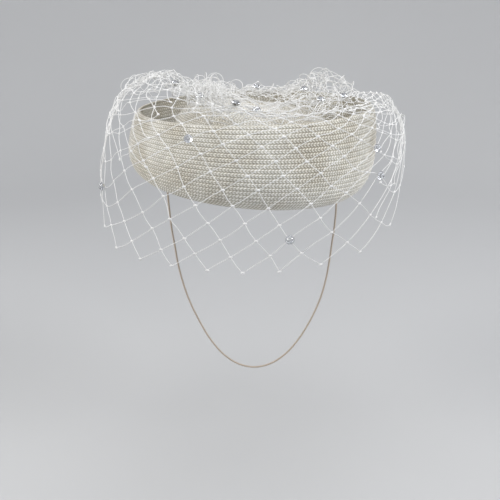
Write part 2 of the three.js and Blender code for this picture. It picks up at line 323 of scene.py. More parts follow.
# Layers of the bunched net: first and last azimuth in degrees, inner and outer share of the way
# out, lift at the inner and at the outer edge, height, count and phase of the ruffles, columns,
# half rows, and the size and length of the crumpling, lengths in millimetres
GATHER_LAYERS = (
    (-180, 180, 0.2, 1.0, 1, 1, 3, 13, 0.0, 28, 6, 4.2, 38),
    (-180, 180, 0.3, 0.96, 2, 4, 4, 9, 1.1, 26, 6, 6.5, 36),
    (-180, 180, 0.15, 0.62, 2, 5, 4, 8, 2.3, 14, 4, 6.0, 34),
    (-128, -12, 0.66, 1.34, 2, 3, 4, 6, 0.4, 12, 6, 6.5, 36),
    (56, 152, 0.42, 1.0, 3, 6, 4, 7, 1.9, 12, 6, 5.6, 30),
    (-66, 74, 0.72, 1.06, 3, -15, 3, 9, 0.9, 18, 4, 4.6, 28),
    (-58, 60, 0.8, 1.0, 4, -9, 3, 7, 2.9, 14, 2, 4.6, 30),
)

# Cut stone, from table to back: corners, reach, height and turn of each ring
STONE_RINGS = (
    (8, 0.56, 0.5, 0.0),
    (8, 0.84, 0.24, 0.5),
    (16, 1.0, 0.02, 0.0),
    (16, 1.0, -0.08, 0.0),
    (8, 0.5, -0.5, 0.5),
)
FOIL_FACING = -0.3
FLAT_ANGLE = 0.01

# The elastic's route from left to right, x and z in millimetres
ELASTIC_ROUTE = (
    (-79.9, -1), (-79.2, -12), (-77.9, -28), (-76.2, -45), (-73.7, -61), (-70.9, -80),
    (-66.8, -98), (-60.6, -118), (-50.5, -141), (-39.5, -161), (-25.8, -178), (-10.5, -188.5),
    (5.5, -192), (21.5, -188.5), (37, -178), (51, -161), (62.4, -141), (72, -118), (77.2, -98),
    (80.2, -80), (82.4, -61), (84.4, -45), (85.7, -28), (86, -15),
)

# Stones in the frame
STONE_COUNT = 13
STONE_NODES = [f"crystal_{number:02d}" for number in range(1, STONE_COUNT + 1)]
STONE_CENTRES = [np.mean(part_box(node), axis=0) for node in STONE_NODES]


def look_up(rows, column, at):
    """A smooth curve through the rows of a table, the first column being the key."""
    table = np.array(rows, dtype=float)
    keys, values = table[:, 0], table[:, column]
    index = np.arange(len(keys))
    before = np.maximum(index - 1, 0)
    after = np.minimum(index + 1, len(keys) - 1)
    slope = (values[after] - values[before]) / (keys[after] - keys[before])
    at = np.asarray(at, dtype=float)
    k = np.clip(np.searchsorted(keys, at) - 1, 0, len(keys) - 2)
    span = keys[k + 1] - keys[k]
    s = np.clip((at - keys[k]) / span, 0, 1)
    rise = s * s * (3 - 2 * s)
    leave = s * (1 - s) ** 2 * span * slope[k]
    arrive = -s * s * (1 - s) * span * slope[k + 1]
    return values[k] + (values[k + 1] - values[k]) * rise + leave + arrive


def tilted(points):
    """Points of the upright hat, leaned to one side as it is worn."""
    x, y, z = points[..., 0], points[..., 1], points[..., 2]
    lean, rest = math.sin(HAT_TILT), math.cos(HAT_TILT)
    return np.stack([x * rest + z * lean, y, z * rest - x * lean], axis=-1)


def upright(points):
    """The opposite of tilted."""
    x, y, z = points[..., 0], points[..., 1], points[..., 2]
    lean, rest = math.sin(HAT_TILT), math.cos(HAT_TILT)
    return np.stack([x * rest - z * lean, y, z * rest + x * lean], axis=-1)


def around(azimuth, reach, height):
    """A place at this azimuth, counted from the front, reach and height."""
    azimuth, reach, height = np.broadcast_arrays(azimuth, reach, height)
    return np.stack([reach * np.sin(azimuth), -reach * np.cos(azimuth), height], axis=-1)


def unit(vectors):
    return vectors / np.maximum(np.linalg.norm(vectors, axis=-1, keepdims=True), 1e-12)


def normals_of(point, u, v, step=1e-3):
    """Unit normals of a surface that is given as a function of u and v."""
    across = point(u + step, v) - point(u - step, v)
    up = point(u, np.minimum(v + step, 1)) - point(u, np.maximum(v - step, 0))
    return unit(np.cross(across, up))


def crown_point(azimuth, along):
    """The crown's surface, from the head opening to the middle of its top."""
    out = np.maximum(look_up(CROWN_PROFILE, 1, along), 0)
    up = look_up(CROWN_PROFILE, 2, along)
    x = HEAD_HALF_WIDTH * out * np.sin(azimuth)
    y = -HEAD_HALF_DEPTH * out * np.cos(azimuth)
    return np.stack(np.broadcast_arrays(x, y, CROWN_HEIGHT * up), axis=-1)


def brim_point(azimuth, along):
    """The brim's surface, from the head opening to the rim."""
    out = look_up(BRIM_PROFILE, 1, along)
    up = look_up(BRIM_PROFILE, 2, along)
    foot_width = HEAD_HALF_WIDTH + SEAM_GAP
    foot_depth = HEAD_HALF_DEPTH + SEAM_GAP
    x = (foot_width + (BRIM_HALF_WIDTH - foot_width) * out) * np.sin(azimuth)
    y = -(foot_depth + (BRIM_HALF_DEPTH - foot_depth) * out) * np.cos(azimuth)
    z = BRIM_HEIGHT * up * (1 + BRIM_RISE * np.sin(azimuth))
    return np.stack(np.broadcast_arrays(x, y, z), axis=-1)


def wrap_degrees(azimuth):
    return np.mod(np.degrees(azimuth) + 180, 360) - 180


def gather_reach(azimuth):
    """How far out the bunched net's edge lies."""
    return HEAD_HALF_WIDTH * look_up(GATHER_EDGE, 1, wrap_degrees(azimuth))


def gather_height(azimuth):
    """How high the bunched net's edge lies."""
    return CROWN_HEIGHT * look_up(GATHER_EDGE, 2, wrap_degrees(azimuth))


def gather_point(azimuth, share):
    """The bunched net without its pleats; share runs from its eye to its edge."""
    reach = GATHER_EYE + (gather_reach(azimuth) - GATHER_EYE) * share
    foot = CROWN_HEIGHT + SEAM_GAP + NET_THICKNESS
    swell = np.sin(np.pi * np.clip(share, 0, 1))
    height = foot + (gather_height(azimuth) - foot) * share + GATHER_HUMP * swell
    return around(azimuth, reach, height)


def veil_ring(azimuth):
    """Reach of the veil where it is widest, a rounded square seen from above."""
    side = np.where(np.sin(azimuth) < 0, VEIL_LEFT, VEIL_RIGHT)
    front = np.where(np.cos(azimuth) > 0, VEIL_FRONT, VEIL_BACK)
    share = (
        np.abs(np.sin(azimuth) / side) ** VEIL_SQUARENESS
        + np.abs(np.cos(azimuth) / front) ** VEIL_SQUARENESS
    )
    return share ** (-1 / VEIL_SQUARENESS)


# Lengths round the widest ring, which space the veil's columns evenly
RING_AZIMUTHS = np.linspace(VEIL_START, VEIL_END, RING_STEPS)
RING_PLACES = around(RING_AZIMUTHS, veil_ring(RING_AZIMUTHS), 0.0)
RING_LENGTHS = np.concatenate(
    [[0.0], np.cumsum(np.linalg.norm(np.diff(RING_PLACES, axis=0), axis=1))]
)


def veil_point(across, down):
    """The veil without folds; across and down are shares of its width and length."""
    azimuth = np.interp(across * RING_LENGTHS[-1], RING_LENGTHS, RING_AZIMUTHS)
    along = down * look_up(VEIL_HEM, 1, np.degrees(azimuth))
    edge = gather_reach(azimuth)
    reach = edge + (veil_ring(azimuth) - edge) * look_up(VEIL_PROFILE, 1, along)
    right = (1 + np.sin(azimuth)) / 2
    fall_left = look_up(VEIL_PROFILE, 2, along)
    fall_right = look_up(VEIL_PROFILE, 3, along)
    fall = fall_left + (fall_right - fall_left) * right
    top = gather_height(azimuth)
    return around(azimuth, reach, top - (top + VEIL_DROP) * fall)


# Camera and meshes
def make_camera():
    """The camera that the object is seen with from the front."""
    data = bpy.data.cameras.new("camera")
    data.lens = CAMERA_LENS
    data.sensor_width = CAMERA_SENSOR
    camera = bpy.data.objects.new("camera", data)
    camera.location = CAMERA_PLACE
    camera.rotation_euler = (math.pi / 2 - CAMERA_PITCH, 0, 0)
    bpy.context.scene.collection.objects.link(camera)
    bpy.context.scene.camera = camera


def mesh_object(name, points, faces, material, uvs=None):
    """A smooth mesh in one material, added to the scene."""
    mesh = bpy.data.meshes.new(name)
    mesh.from_pydata(np.asarray(points).tolist(), [], faces)
    if uvs is not None:
        layer = mesh.uv_layers.new(name="UVMap")
        layer.data.foreach_set("uv", np.asarray(uvs, dtype=np.float32).ravel())
    mesh.materials.append(material)
    mesh.polygons.foreach_set("use_smooth", [True] * len(mesh.polygons))
    mesh.update()
    piece = bpy.data.objects.new(name, mesh)
    bpy.context.scene.collection.objects.link(piece)
    return piece


def band(low, high, sides):
    """Quads between two rings of points, which start at these indices."""
    faces = []
    for side in range(sides):
        right = (side + 1) % sides
        faces.append((low + side, low + right, high + right, high + side))
    return faces


def catmull_rom(points, steps):
    """A centripetal curve through all the points."""
    points = np.asarray(points, dtype=float)
    ends = np.concatenate([[2 * points[0] - points[1]], points, [2 * points[-1] - points[-2]]])
    path = []
    for p0, p1, p2, p3 in zip(ends, ends[1:], ends[2:], ends[3:]):
        t1 = np.linalg.norm(p1 - p0) ** 0.5
        t2 = t1 + np.linalg.norm(p2 - p1) ** 0.5
        t3 = t2 + np.linalg.norm(p3 - p2) ** 0.5
        for t in np.linspace(t1, t2, steps, endpoint=False):
            a1 = p0 * (t1 - t) / t1 + p1 * t / t1
            a2 = (p1 * (t2 - t) + p2 * (t - t1)) / (t2 - t1)
            a3 = (p2 * (t3 - t) + p3 * (t - t2)) / (t3 - t2)
            b1 = a1 * (t2 - t) / t2 + a2 * t / t2
            b2 = (a2 * (t3 - t) + a3 * (t - t1)) / (t3 - t1)
            path.append((b1 * (t2 - t) + b2 * (t - t1)) / (t2 - t1))
    path.append(points[-1])
    return np.array(path)


# Nodes of a material
class Nodes:
    """Short ways to build a material's nodes and join them to its shader."""

    def __init__(self, name):
        self.material = bpy.data.materials.new(name)
        self.material.use_nodes = True
        self.tree = self.material.node_tree
        self.shader = self.tree.nodes["Principled BSDF"]

    def add(self, kind, inputs=(), **settings):
        node = self.tree.nodes.new(kind)
        for key, value in settings.items():
            setattr(node, key, value)
        for key, value in dict(inputs).items():
            self.join(value, node.inputs[key])
        return node

    def join(self, value, socket):
        if isinstance(value, bpy.types.NodeSocket):
            self.tree.links.new(value, socket)
        else:
            socket.default_value = value

    def math(self, operation, *values):
        node = self.add("ShaderNodeMath", dict(enumerate(values)), operation=operation)
        return node.outputs[0]

    def noise(self, vector, scale, detail=2.0):
        inputs = {"Vector": vector, "Scale": scale, "Detail": detail}
        return self.add("ShaderNodeTexNoise", inputs).outputs["Fac"]

    def scaled(self, vector, scale):
        inputs = {0: vector, 1: scale}
        return self.add("ShaderNodeVectorMath", inputs, operation="MULTIPLY").outputs[0]

    def span(self, value, low, high, to_low=0.0, to_high=1.0, smooth=False):
        inputs = {0: value, 1: low, 2: high, 3: to_low, 4: to_high}
        kind = "SMOOTHSTEP" if smooth else "LINEAR"
        return self.add("ShaderNodeMapRange", inputs, interpolation_type=kind).outputs[0]

    def mix(self, share, first, second, blend="MIX"):
        node = self.add("ShaderNodeMix", data_type="RGBA", blend_type=blend)
        self.join(share, node.inputs[0])
        self.join(first, node.inputs[6])
        self.join(second, node.inputs[7])
        return node.outputs[2]

    def bump(self, height, distance, strength=1.0):
        node = self.add("ShaderNodeBump", {"Height": height, "Distance": distance})
        node.inputs["Strength"].default_value = strength
        return node.outputs["Normal"]

    def set(self, **values):
        for key, value in values.items():
            self.join(value, self.shader.inputs[key.replace("_", " ")])
        return self.material


def straw_material():
    """Woven sisal braid: each ridge has two half rows whose stitches slant against each other, with
    painted shade in the gaps and a painted highlight on the crests.
    """
    nodes = Nodes("straw_braid")
    uv = nodes.add("ShaderNodeUVMap", uv_map="UVMap").outputs[0]
    split = nodes.add("ShaderNodeSeparateXYZ", {0: uv})
    along, row = split.outputs[0], split.outputs[1]
    local = nodes.add("ShaderNodeTexCoord").outputs["Object"]
    half_row = nodes.math("MULTIPLY", row, 2.0)
    wander = nodes.math("MULTIPLY", nodes.noise(local, WANDER_SCALE, 1.0), STITCH_WANDER)
    lean = nodes.math("MULTIPLY_ADD", nodes.math("PINGPONG", half_row, 1.0), STITCH_LEAN, wander)
    turn = nodes.math("ADD", along, lean)
    wave = nodes.math("COSINE", nodes.math("MULTIPLY", turn, 2 * math.pi))
    stitch = nodes.span(wave, -0.75, 0.8, smooth=True)
    arch = nodes.math("SINE", nodes.math("MULTIPLY", nodes.math("FRACT", half_row), math.pi))
    ridge = nodes.math("POWER", nodes.math("MAXIMUM", arch, 0.001), 0.5)
    raised = nodes.math("MULTIPLY", ridge, nodes.math("MULTIPLY_ADD", stitch, 0.7, 0.3))
    fibre = nodes.noise(nodes.scaled(uv, FIBRE_STRETCH), FIBRE_SCALE, 3.0)
    height = nodes.math("MULTIPLY_ADD", fibre, FIBRE_HEIGHT, raised)
    number = nodes.math("FLOOR", nodes.math("ADD", turn, 0.5))
    cell = nodes.add("ShaderNodeCombineXYZ", {0: number, 1: nodes.math("FLOOR", half_row)})
    white = nodes.add("ShaderNodeTexWhiteNoise", {"Vector": cell.outputs[0]})
    chance = white.outputs["Value"]
    patches = nodes.span(nodes.noise(local, PATCH_SCALE, 2.0), 0.3, 0.62, smooth=True)
    # Painted shade and highlight: the colour runs from dark in the gaps between stitches to pale on
    # the stitch crests.
    pale = nodes.mix(patches, *STRAW_PALE_AND_HIGHLIGHT)
    gap_shade = nodes.mix(patches, *STRAW_GAP_SHADE)
    # Painted shade also deepens the valleys between full rows.
    full_arch = nodes.math("SINE", nodes.math("MULTIPLY", nodes.math("FRACT", row), math.pi))
    crest = nodes.span(full_arch, 0.0, 0.75, 0.35, 1.0, smooth=True)
    painted_shade = nodes.span(nodes.math("MULTIPLY", raised, crest), 0.12, 0.78, smooth=True)
    shaded_weave = nodes.mix(painted_shade, gap_shade, pale)
    streak = nodes.span(fibre, 0.3, 0.75, 0.88, 1.04)
    streak = nodes.math("MULTIPLY", streak, nodes.span(chance, 0, 1, 0.85, 1.07))
    color = nodes.mix(1.0, shaded_weave, streak, blend="MULTIPLY")
    rough = nodes.math("MULTIPLY_ADD", chance, 0.18, nodes.span(raised, 0.2, 0.9, 0.6, 0.27))
    return nodes.set(
        Base_Color=color,
        Roughness=rough,
        Normal=nodes.bump(height, STRAW_BUMP),
        Specular_IOR_Level=0.65,
        Sheen_Weight=0.1,
    )


def net_material():
    """White nylon strand with a soft shine."""
    nodes = Nodes("net_strand")
    local = nodes.add("ShaderNodeTexCoord").outputs["Object"]
    fine = nodes.noise(local, 900.0, 2.0)
    broad = nodes.noise(local, 35.0, 1.0)
    color = nodes.mix(broad, *NET_WHITE)
    return nodes.set(
        Base_Color=color,
        Roughness=nodes.span(fine, 0.3, 0.7, 0.34, 0.55),
        Normal=nodes.bump(fine, NET_BUMP, 0.5),
        Specular_IOR_Level=0.6,
    )


def elastic_material():
    """Round braided elastic: crossing slanted threads."""
    nodes = Nodes("elastic_braid")
    uv = nodes.add("ShaderNodeUVMap", uv_map="UVMap").outputs[0]
    split = nodes.add("ShaderNodeSeparateXYZ", {0: uv})
    around_it, along = split.outputs[0], split.outputs[1]
    leans = []
    for sign in (1.0, -1.0):
        turn = nodes.math("MULTIPLY_ADD", around_it, 4.0 * sign, along)
        wave = nodes.math("COSINE", nodes.math("MULTIPLY", turn, 2 * math.pi))
        leans.append(nodes.span(wave, -1.0, 1.0))
    braid = nodes.math("MAXIMUM", leans[0], leans[1])
    color = nodes.mix(braid, *ELASTIC_TAN)
    return nodes.set(
        Base_Color=color,
        Roughness=0.7,
        Normal=nodes.bump(braid, ELASTIC_BUMP),
        Sheen_Weight=0.2,
    )


def stone_material():
    """Clear glass with a trace of haze."""
    nodes = Nodes("clear_stone")
    local = nodes.add("ShaderNodeTexCoord").outputs["Object"]
    haze = nodes.noise(local, 420.0, 1.0)
    color = nodes.mix(haze, *STONE_CLEAR)
    return nodes.set(
        Base_Color=color,
        Roughness=0.02,
        IOR=1.62,
        Transmission_Weight=0.9,
        Specular_IOR_Level=0.7,
    )


def foil_material():
    """The silvered back of a stone."""
    nodes = Nodes("stone_foil")
    local = nodes.add("ShaderNodeTexCoord").outputs["Object"]
    speck = nodes.noise(local, 700.0, 2.0)
    color = nodes.mix(speck, *FOIL_SILVER)
    return nodes.set(Base_Color=color, Metallic=1.0, Roughness=0.16)


def stage_material():
    """Matt pale grey, slightly cloudy."""
    nodes = Nodes("stage_paint")
    local = nodes.add("ShaderNodeTexCoord").outputs["Object"]
    cloudy = nodes.noise(local, 0.9, 1.0)
    color = nodes.mix(cloudy, *STAGE_GREY)
    return nodes.set(Base_Color=color, Roughness=0.9)


# Straw walls
def ring_count(point, along):
    """How many stitches go round the row at this share of the profile."""
    turn = np.linspace(0, 2 * np.pi, STITCH_SAMPLES)
    places = point(turn, np.full_like(turn, along))
    length = np.linalg.norm(np.diff(places, axis=0), axis=1).sum()
    return max(int(round(length / STITCH_PITCH)), LEAST_STITCHES)


def straw_rings(point, rows, rings, columns, top, closed_top):
    """Rings of points up the outer face of a wall and down its inner face."""
    share = np.linspace(0, top, rings + 1)
    turn = np.linspace(-np.pi, np.pi, columns, endpoint=False)
    u, v = np.meshgrid(turn, share)
    base, normal = point(u, v), normals_of(point, u, v)
    swell = np.abs(np.sin(np.pi * v * rows)) ** ROW_ROUNDNESS * ROW_RELIEF
    outer = base + normal * (swell - OUTER_SINK * ROW_RELIEF)[..., None]
    inner_depth = STRAW_THICKNESS - INNER_SINK * ROW_RELIEF + INNER_RELIEF * swell
    inner = base - normal * inner_depth[..., None]
    sections = [outer]
    edge = (outer[-1] + inner[-1]) / 2
    rim_up = unit(base[-1] - base[-2])
    if not closed_top:
        sections.append((edge + rim_up * RIM_ROUNDING)[None])
    sections.append(inner[::-1])
    foot_down = unit(base[0] - base[1])
    sections.append(((outer[0] + inner[0]) / 2 + foot_down * FOOT_ROUNDING)[None])
    return tilted(np.concatenate(sections))


def straw_wall(name, point, rows, steps, columns, closed_top, material):
    """A wall of braid rows: each row is a raised ridge on both faces, with a round edge."""
    top = 1 - 0.5 / rows if closed_top else 1.0
    rings = rows * steps
    loop = straw_rings(point, rows, rings, columns, top, closed_top)
    count = len(loop)
    counts = [ring_count(point, (k + 0.5) / rows * top) for k in range(rows)]
    level = list(range(rings + 1)) + ([rings] if not closed_top else [])
    level += list(range(rings, -1, -1)) + [0]
    skipped = rings if closed_top else None
    faces, uvs = [], []
    for k in range(count):
        if k == skipped:
            continue
        following = (k + 1) % count
        row = min(min(level[k], level[following]) // steps, rows - 1)
        low, high = level[k] / steps, level[following] / steps
        faces += band(k * columns, following * columns, columns)
        for column in range(columns):
            left_u = column / columns * counts[row]
            right_u = (column + 1) / columns * counts[row]
            uvs += [(left_u, low), (right_u, low), (right_u, high), (left_u, high)]
    points = loop.reshape(-1, 3)
    if closed_top:
        tops = tilted(np.stack([point(0.0, 1.0), point(0.0, 1.0) - [0, 0, STRAW_THICKNESS]]))
        points = np.concatenate([points, tops])
        outer_top = (rings, count * columns, False)
        inner_top = (rings + 1, count * columns + 1, True)
        for ring, centre, flip in (outer_top, inner_top):
            for column in range(columns):
                right = (column + 1) % columns
                pair = (ring * columns + column, ring * columns + right)
                pair = pair[::-1] if flip else pair
                faces.append((*pair, centre))
                angle = column / columns * counts[-1]
                uvs += [(angle, rows), (angle + CAP_STITCH, rows), (angle, rows + 0.5)]
    return mesh_object(name, points, faces, material, uvs)


# Net
def tube_rings(paths, sides, radius, up):
    """Rings of points round many paths at once: paths is tubes, steps and xyz."""
    tangent = unit(np.gradient(paths, axis=1))
    side = unit(np.cross(tangent, up[:, None, :]))
    lift = np.cross(side, tangent)
    angles = np.arange(sides) / sides * 2 * np.pi
    cosines, sines = np.cos(angles), np.sin(angles)
    spread = side[:, :, None] * cosines[None, None, :, None]
    spread = spread + lift[:, :, None] * sines[None, None, :, None]
    return paths[:, :, None] + spread * radius


def tube_faces(tubes, steps, sides):
    """Quads along each tube and a cap at each end."""
    faces = []
    for tube in range(tubes):
        start = tube * steps * sides
        for step in range(steps - 1):
            low = start + step * sides
            faces += band(low, low + sides, sides)
        faces.append(tuple(start + side for side in reversed(range(sides))))
        last = start + (steps - 1) * sides
        faces.append(tuple(last + side for side in range(sides)))
    return faces


def knot_mesh(centres, across, up, out, radius, first):
    """A small flattened bead of thread at each crossing."""
    sides = KNOT_SIDES
    angles = np.arange(sides) / sides * 2 * np.pi
    points, faces = [], []
    for centre, along, rise, face in zip(centres, across, up, out):
        start = first + len(points)
        for shift, wide in KNOT_RINGS:
            middle = centre + along * shift * radius * KNOT_STRETCH
            for angle in angles:
                offset = rise * math.cos(angle) + face * math.sin(angle) * KNOT_FLATNESS
                points.append(middle + offset * wide * radius * KNOT_WIDTH)
        points.append(centre - along * radius * KNOT_TIP)
        points.append(centre + along * radius * KNOT_TIP)
        for ring in range(len(KNOT_RINGS) - 1):
            low = start + ring * sides
            faces += band(low, low + sides, sides)
        tips = start + len(KNOT_RINGS) * sides
        last = start + (len(KNOT_RINGS) - 1) * sides
        for side in range(sides):
            right = (side + 1) % sides
            faces.append((start + right, start + side, tips))
            faces.append((last + side, last + right, tips + 1))
    return np.array(points), faces


def crumple(points, size, wavelength, seed):
    """Smooth folds: a sum of seeded waves, of this size and length in metres."""
    chance = np.random.default_rng(seed)
    moved = np.zeros_like(points)
    for _ in range(CRUMPLE_WAVES):
        direction = unit(chance.normal(size=3))
        push = unit(chance.normal(size=3))
        length = wavelength * chance.uniform(*CRUMPLE_LENGTHS)
        phase = chance.uniform(0, 2 * np.pi)
        moved += np.sin(2 * np.pi * (points @ direction) / length + phase)[..., None] * push
    return points + moved * size / math.sqrt(CRUMPLE_WAVES)


def off_stones(points):
    """Zero at the stones, which hold the net down, and one away from them."""
    worn = tilted(points)
    share = np.ones(points.shape[:-1])
    for centre in STONE_CENTRES:
        gap = np.linalg.norm(worn - centre, axis=-1)
        share = share * (1 - np.exp(-((gap / STONE_CALM) ** 2)))
    return share[..., None]


def veil_slant(across, down):
    """Leans the diamonds so that strands falling to the right are the steeper ones."""
    ends = np.clip(np.minimum(across, 1 - across) / SLANT_EASE, 0, 1)
    return across + SLANT * (0.5 - down) * ends * ends * (3 - 2 * ends)


def net_keys(columns, half_rows, closed=False):
    """Column and half row of every crossing of a diamond net."""
    width = columns if closed else columns + 1
    keys = []
    for row in range(half_rows + 1):
        keys += [(column, row) for column in range(width) if (row + column) % 2 == 0]
    return keys


def pulled_to_stones(u, v):
    """Moves the veil's coordinates so that the nearest crossing lies under each stone."""
    keys = np.array(net_keys(VEIL_COLUMNS, VEIL_HALF_ROWS))
    slanted = veil_slant(keys[:, 0] / VEIL_COLUMNS, keys[:, 1] / VEIL_HALF_ROWS)
    crossings = np.stack([slanted * VEIL_COLUMNS, keys[:, 1]], axis=-1)
    column, row = u * VEIL_COLUMNS, v * VEIL_HALF_ROWS
    to_u, to_v = np.zeros_like(u), np.zeros_like(v)
    for spot in np.array(VEIL_STONES, dtype=float):
        near = crossings[np.argmin(np.linalg.norm(crossings - spot, axis=1))]
        share = np.exp(-((column - near[0]) ** 2 + (row - near[1]) ** 2) / STONE_PULL**2)
        to_u = to_u + (spot[0] - near[0]) / VEIL_COLUMNS * share
        to_v = to_v + (spot[1] - near[1]) / VEIL_HALF_ROWS * share
    return u + to_u, v + to_v


def net(
    name,
    point,
    columns,
    half_rows,
    material,
    seed,
    bow=0.0,
    closed=False,
    knot=KNOT_RADIUS,
    steps=STRAND_STEPS,
):
    """Diamond net over a surface, strand by strand, with a knot at each crossing."""
    chance = np.random.default_rng(seed)
    grid = {key: index for index, key in enumerate(net_keys(columns, half_rows, closed))}
    keys = np.array(list(grid))
    u, v = keys[:, 0] / columns, keys[:, 1] / half_rows
    free = (keys[:, 1] > 0) & (keys[:, 1] < half_rows)
    free = free * off_stones(point(u, v))[:, 0]
    shift = chance.normal(0, NODE_SHIFT, (len(keys), 2)) * free[:, None]
    u = u + shift[:, 0] / columns
    v = v + shift[:, 1] / half_rows
    if not closed:
        u = np.clip(u, 0, 1)
    v = np.clip(v, 0, 1)
    starts, ends = [], []
    for (column, row), index in grid.items():
        for side in (-1, 1):
            other = ((column + side) % columns if closed else column + side, row + 1)
            if other in grid:
                starts.append(index)
                ends.append(grid[other])
    turn = u[ends] - u[starts]
    if closed:
        turn = np.mod(turn + 0.5, 1) - 0.5
    t = np.linspace(0, 1, steps)[None, :]
    along_u = u[starts][:, None] + turn[:, None] * t
    along_v = v[starts][:, None] + (v[ends] - v[starts])[:, None] * t
    paths = point(along_u, along_v)
    bend = chance.normal(0, bow, (len(starts), 1, 3)) * np.sin(np.pi * t)[..., None]
    paths = paths + bend
    normal = normals_of(point, u, v, NET_NORMAL_STEP)
    up = unit(normal[starts] + normal[ends] + 1e-6)
    rings = tube_rings(tilted(paths), STRAND_SIDES, STRAND_RADIUS, tilted(up))
    faces = tube_faces(len(starts), steps, STRAND_SIDES)
    points = rings.reshape(-1, 3)
    high = tilted(normal)
    wide = tilted(unit(point(u + NET_NORMAL_STEP, v) - point(u - NET_NORMAL_STEP, v)))
    rise = unit(np.cross(high, wide))
    beads, bead_faces = knot_mesh(tilted(point(u, v)), wide, rise, high, knot, len(points))
    return mesh_object(name, np.concatenate([points, beads]), faces + bead_faces, material)


def loose_veil(across, down):
    """The veil with the soft unevenness of net that has been folded and worn."""
    across, down = pulled_to_stones(veil_slant(across, down), down)
    across, down = np.clip(across, 0, 1), np.clip(down, 0, 1)
    base = veil_point(across, down)
    folded = base
    for share, wavelength, seed in VEIL_CRUMPLES:
        folded = crumple(folded, share * VEIL_FOLD, wavelength, seed)
    left = np.clip(-base[..., 0:1] / VEIL_LEFT, 0, 1)
    fall = np.asarray(down)[..., None]
    weight = HEM_LOOSENESS + TOP_LOOSENESS * (1 - fall) ** 2
    weight = weight * (RIGHT_LOOSENESS + LEFT_LOOSENESS * left)
    start = np.clip(fall / EDGE_EASE, EDGE_LOOSENESS, 1)
    return base + (folded - base) * weight * start * off_stones(base)


def fold_point(fold, seed):
    """The surface of one second fold, which bulges out from the veil."""
    first, last, deepest, _, _, bulge, size, wavelength = fold

    def point(u, v):
        across = first + (last - first) * np.clip(u, 0, 1)
        down = deepest * np.asarray(v)
        base = veil_point(across, down)
        outward = unit(base * [1, 1, 0])
        moved = base + outward * bulge * MM * np.sin(np.pi * down / deepest)[..., None]
        moved = crumple(moved, size * MM, wavelength * MM, seed)
        moved[..., 2] = np.minimum(moved[..., 2], base[..., 2] + FOLD_RISE)
        return base + (moved - base) * off_stones(base)

    return point


def make_folds(material):
    """The second folds of the veil, each a piece of net of its own."""
    pieces = []
    for index, fold in enumerate(VEIL_FOLDS):
        columns, half_rows = fold[3:5]
        point = fold_point(fold, FOLD_CRUMPLE_SEED + index)
        name = f"veil_fold_{index + 1}"
        seed = FOLD_NET_SEED + index
        piece = net(name, point, columns, half_rows, material, seed, FOLD_BOW, steps=CRUMPLED_STEPS)
        pieces.append(piece)
    return pieces


# Table that leads from a share of the crown's reach back to its profile
CROWN_SHARES = np.linspace(0.3, 1, 141)
CROWN_OUTS = -np.maximum(look_up(CROWN_PROFILE, 1, CROWN_SHARES), 0)


def crown_along(points):
    """The share along the crown's profile that lies under each point."""
    out = np.hypot(points[..., 0] / HEAD_HALF_WIDTH, points[..., 1] / HEAD_HALF_DEPTH)
    return np.interp(-out, CROWN_OUTS, CROWN_SHARES)


def layer_point(layer, seed):
    """The surface of one ruffled and crumpled layer of the bunched net."""
    start, end, inner, outer, lift_in, lift_out, height, count, phase = layer[:9]
    size, wavelength = layer[11:]

    def point(u, v):
        azimuth = np.radians(start + (end - start) * u)
        azimuth = azimuth + LAYER_WANDER * np.sin(5 * azimuth + phase)
        share = inner + (outer - inner) * v
        base = gather_point(azimuth, share)
        whole = count * 2 * np.pi * u
        overtone = np.sin(2 * whole + 2 * phase + 3 * v)
        ruffle = np.sin(whole + phase) + RUFFLE_OVERTONE * overtone
        rise = lift_in + (lift_out - lift_in) * v + height * ruffle * v
        moved = base + around(azimuth, RUFFLE_SWAY * np.cos(whole + phase) * v, 0.0)
        moved[..., 2] = moved[..., 2] + rise * MM
        moved = crumple(moved, size * MM, wavelength * MM, seed)
        loose = base + (moved - base) * off_stones(base)
        floor = CROWN_HEIGHT * look_up(CROWN_PROFILE, 2, crown_along(loose)) + NET_LIFT
        loose[..., 2] = np.maximum(loose[..., 2], floor)
        return loose

    return point


def make_gather(material):
    """The crumpled layers of the bunched net."""
    pieces = []
    for index, layer in enumerate(GATHER_LAYERS):
        columns, half_rows = layer[9:11]
        closed = layer[1] - layer[0] == 360
        point = layer_point(layer, LAYER_CRUMPLE_SEED + index)
        name = f"bunched_net_{index + 1}"
        pieces.append(
            net(
                name,
                point,
                columns,
                half_rows,
                material,
                seed=LAYER_NET_SEED + index,
                bow=LAYER_BOW,
                closed=closed,
                knot=LAYER_KNOT_RADIUS,
                steps=CRUMPLED_STEPS,
            )
        )
    return pieces


def clear_of_stones(paths):
    """Pushes thread points out of the room that the stones take."""
    room = np.array(STONE_ROOM)
    for centre in upright(np.array(STONE_CENTRES)):
        away = (paths - centre) / room
        reach = np.linalg.norm(away, axis=-1, keepdims=True)
        paths = np.where(reach < 1, centre + away / np.maximum(reach, 0.001) * room, paths)
    return paths


def small_loops(chance):
    """Paths of loops that spring up from the bunched net at random."""
    paths = []
    for first, last, inner, outer, count, least, most in LOOP_FIELDS:
        for _ in range(count):
            azimuth = math.radians(chance.uniform(first, last))
            base = gather_point(azimuth, chance.uniform(inner, outer))
            radius = chance.uniform(least, most) * MM
            axis = unit(chance.normal(size=3) * LOOP_LEVELNESS)
            up = unit(np.array([0, 0, 1.0]) - axis * axis[2])
            side = np.cross(axis, up)
            angles = np.linspace(-0.5, 1.5, LOOP_STEPS) * np.pi * chance.uniform(*LOOP_CLOSURES)
            wide = chance.uniform(*LOOP_WIDTHS)
            sway = axis * np.linspace(-1, 1, LOOP_STEPS)[:, None] * radius * LOOP_SWAY
            ring = side * np.cos(angles)[:, None] * wide + up * np.sin(angles)[:, None]
            paths.append(base + up * radius * LOOP_LIFT + ring * radius + sway)
    return paths


